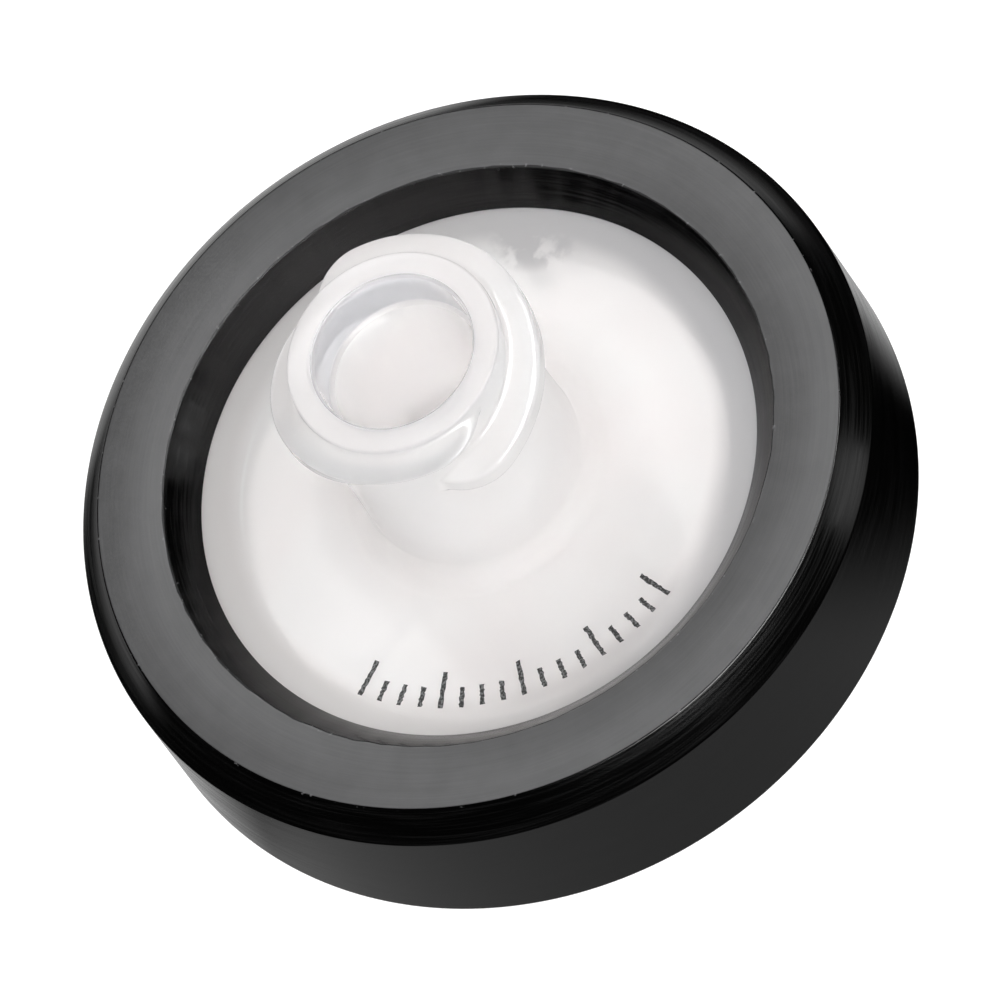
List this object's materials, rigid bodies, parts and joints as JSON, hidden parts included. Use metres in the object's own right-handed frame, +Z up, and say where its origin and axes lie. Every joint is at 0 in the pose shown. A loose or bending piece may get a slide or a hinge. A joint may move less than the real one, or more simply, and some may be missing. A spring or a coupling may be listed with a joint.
{
  "type": "syringe filter",
  "caption": "Disc-shaped syringe filter with a black overmoulded ring, a female Luer lock inlet and a male Luer slip outlet.",
  "frame": {"origin": "centre of the outlet tip's end face", "axes": "+Z up the flow axis, from the outlet tip to the inlet's mouth; the lugs run out of the hub about the Y axis"},
  "size_m": [0.0224, 0.0224, 0.0221],
  "materials": {
    "natural_plastic": "milky, semi-gloss",
    "membrane": "matt",
    "black_plastic": "gloss edges, satin faces"
  },
  "bodies": {
    "root": {"outlet_housing": "natural_plastic", "membrane": "membrane", "inlet_housing": "natural_plastic", "overmould_ring": "black_plastic"}
  },
  "joints": []
}
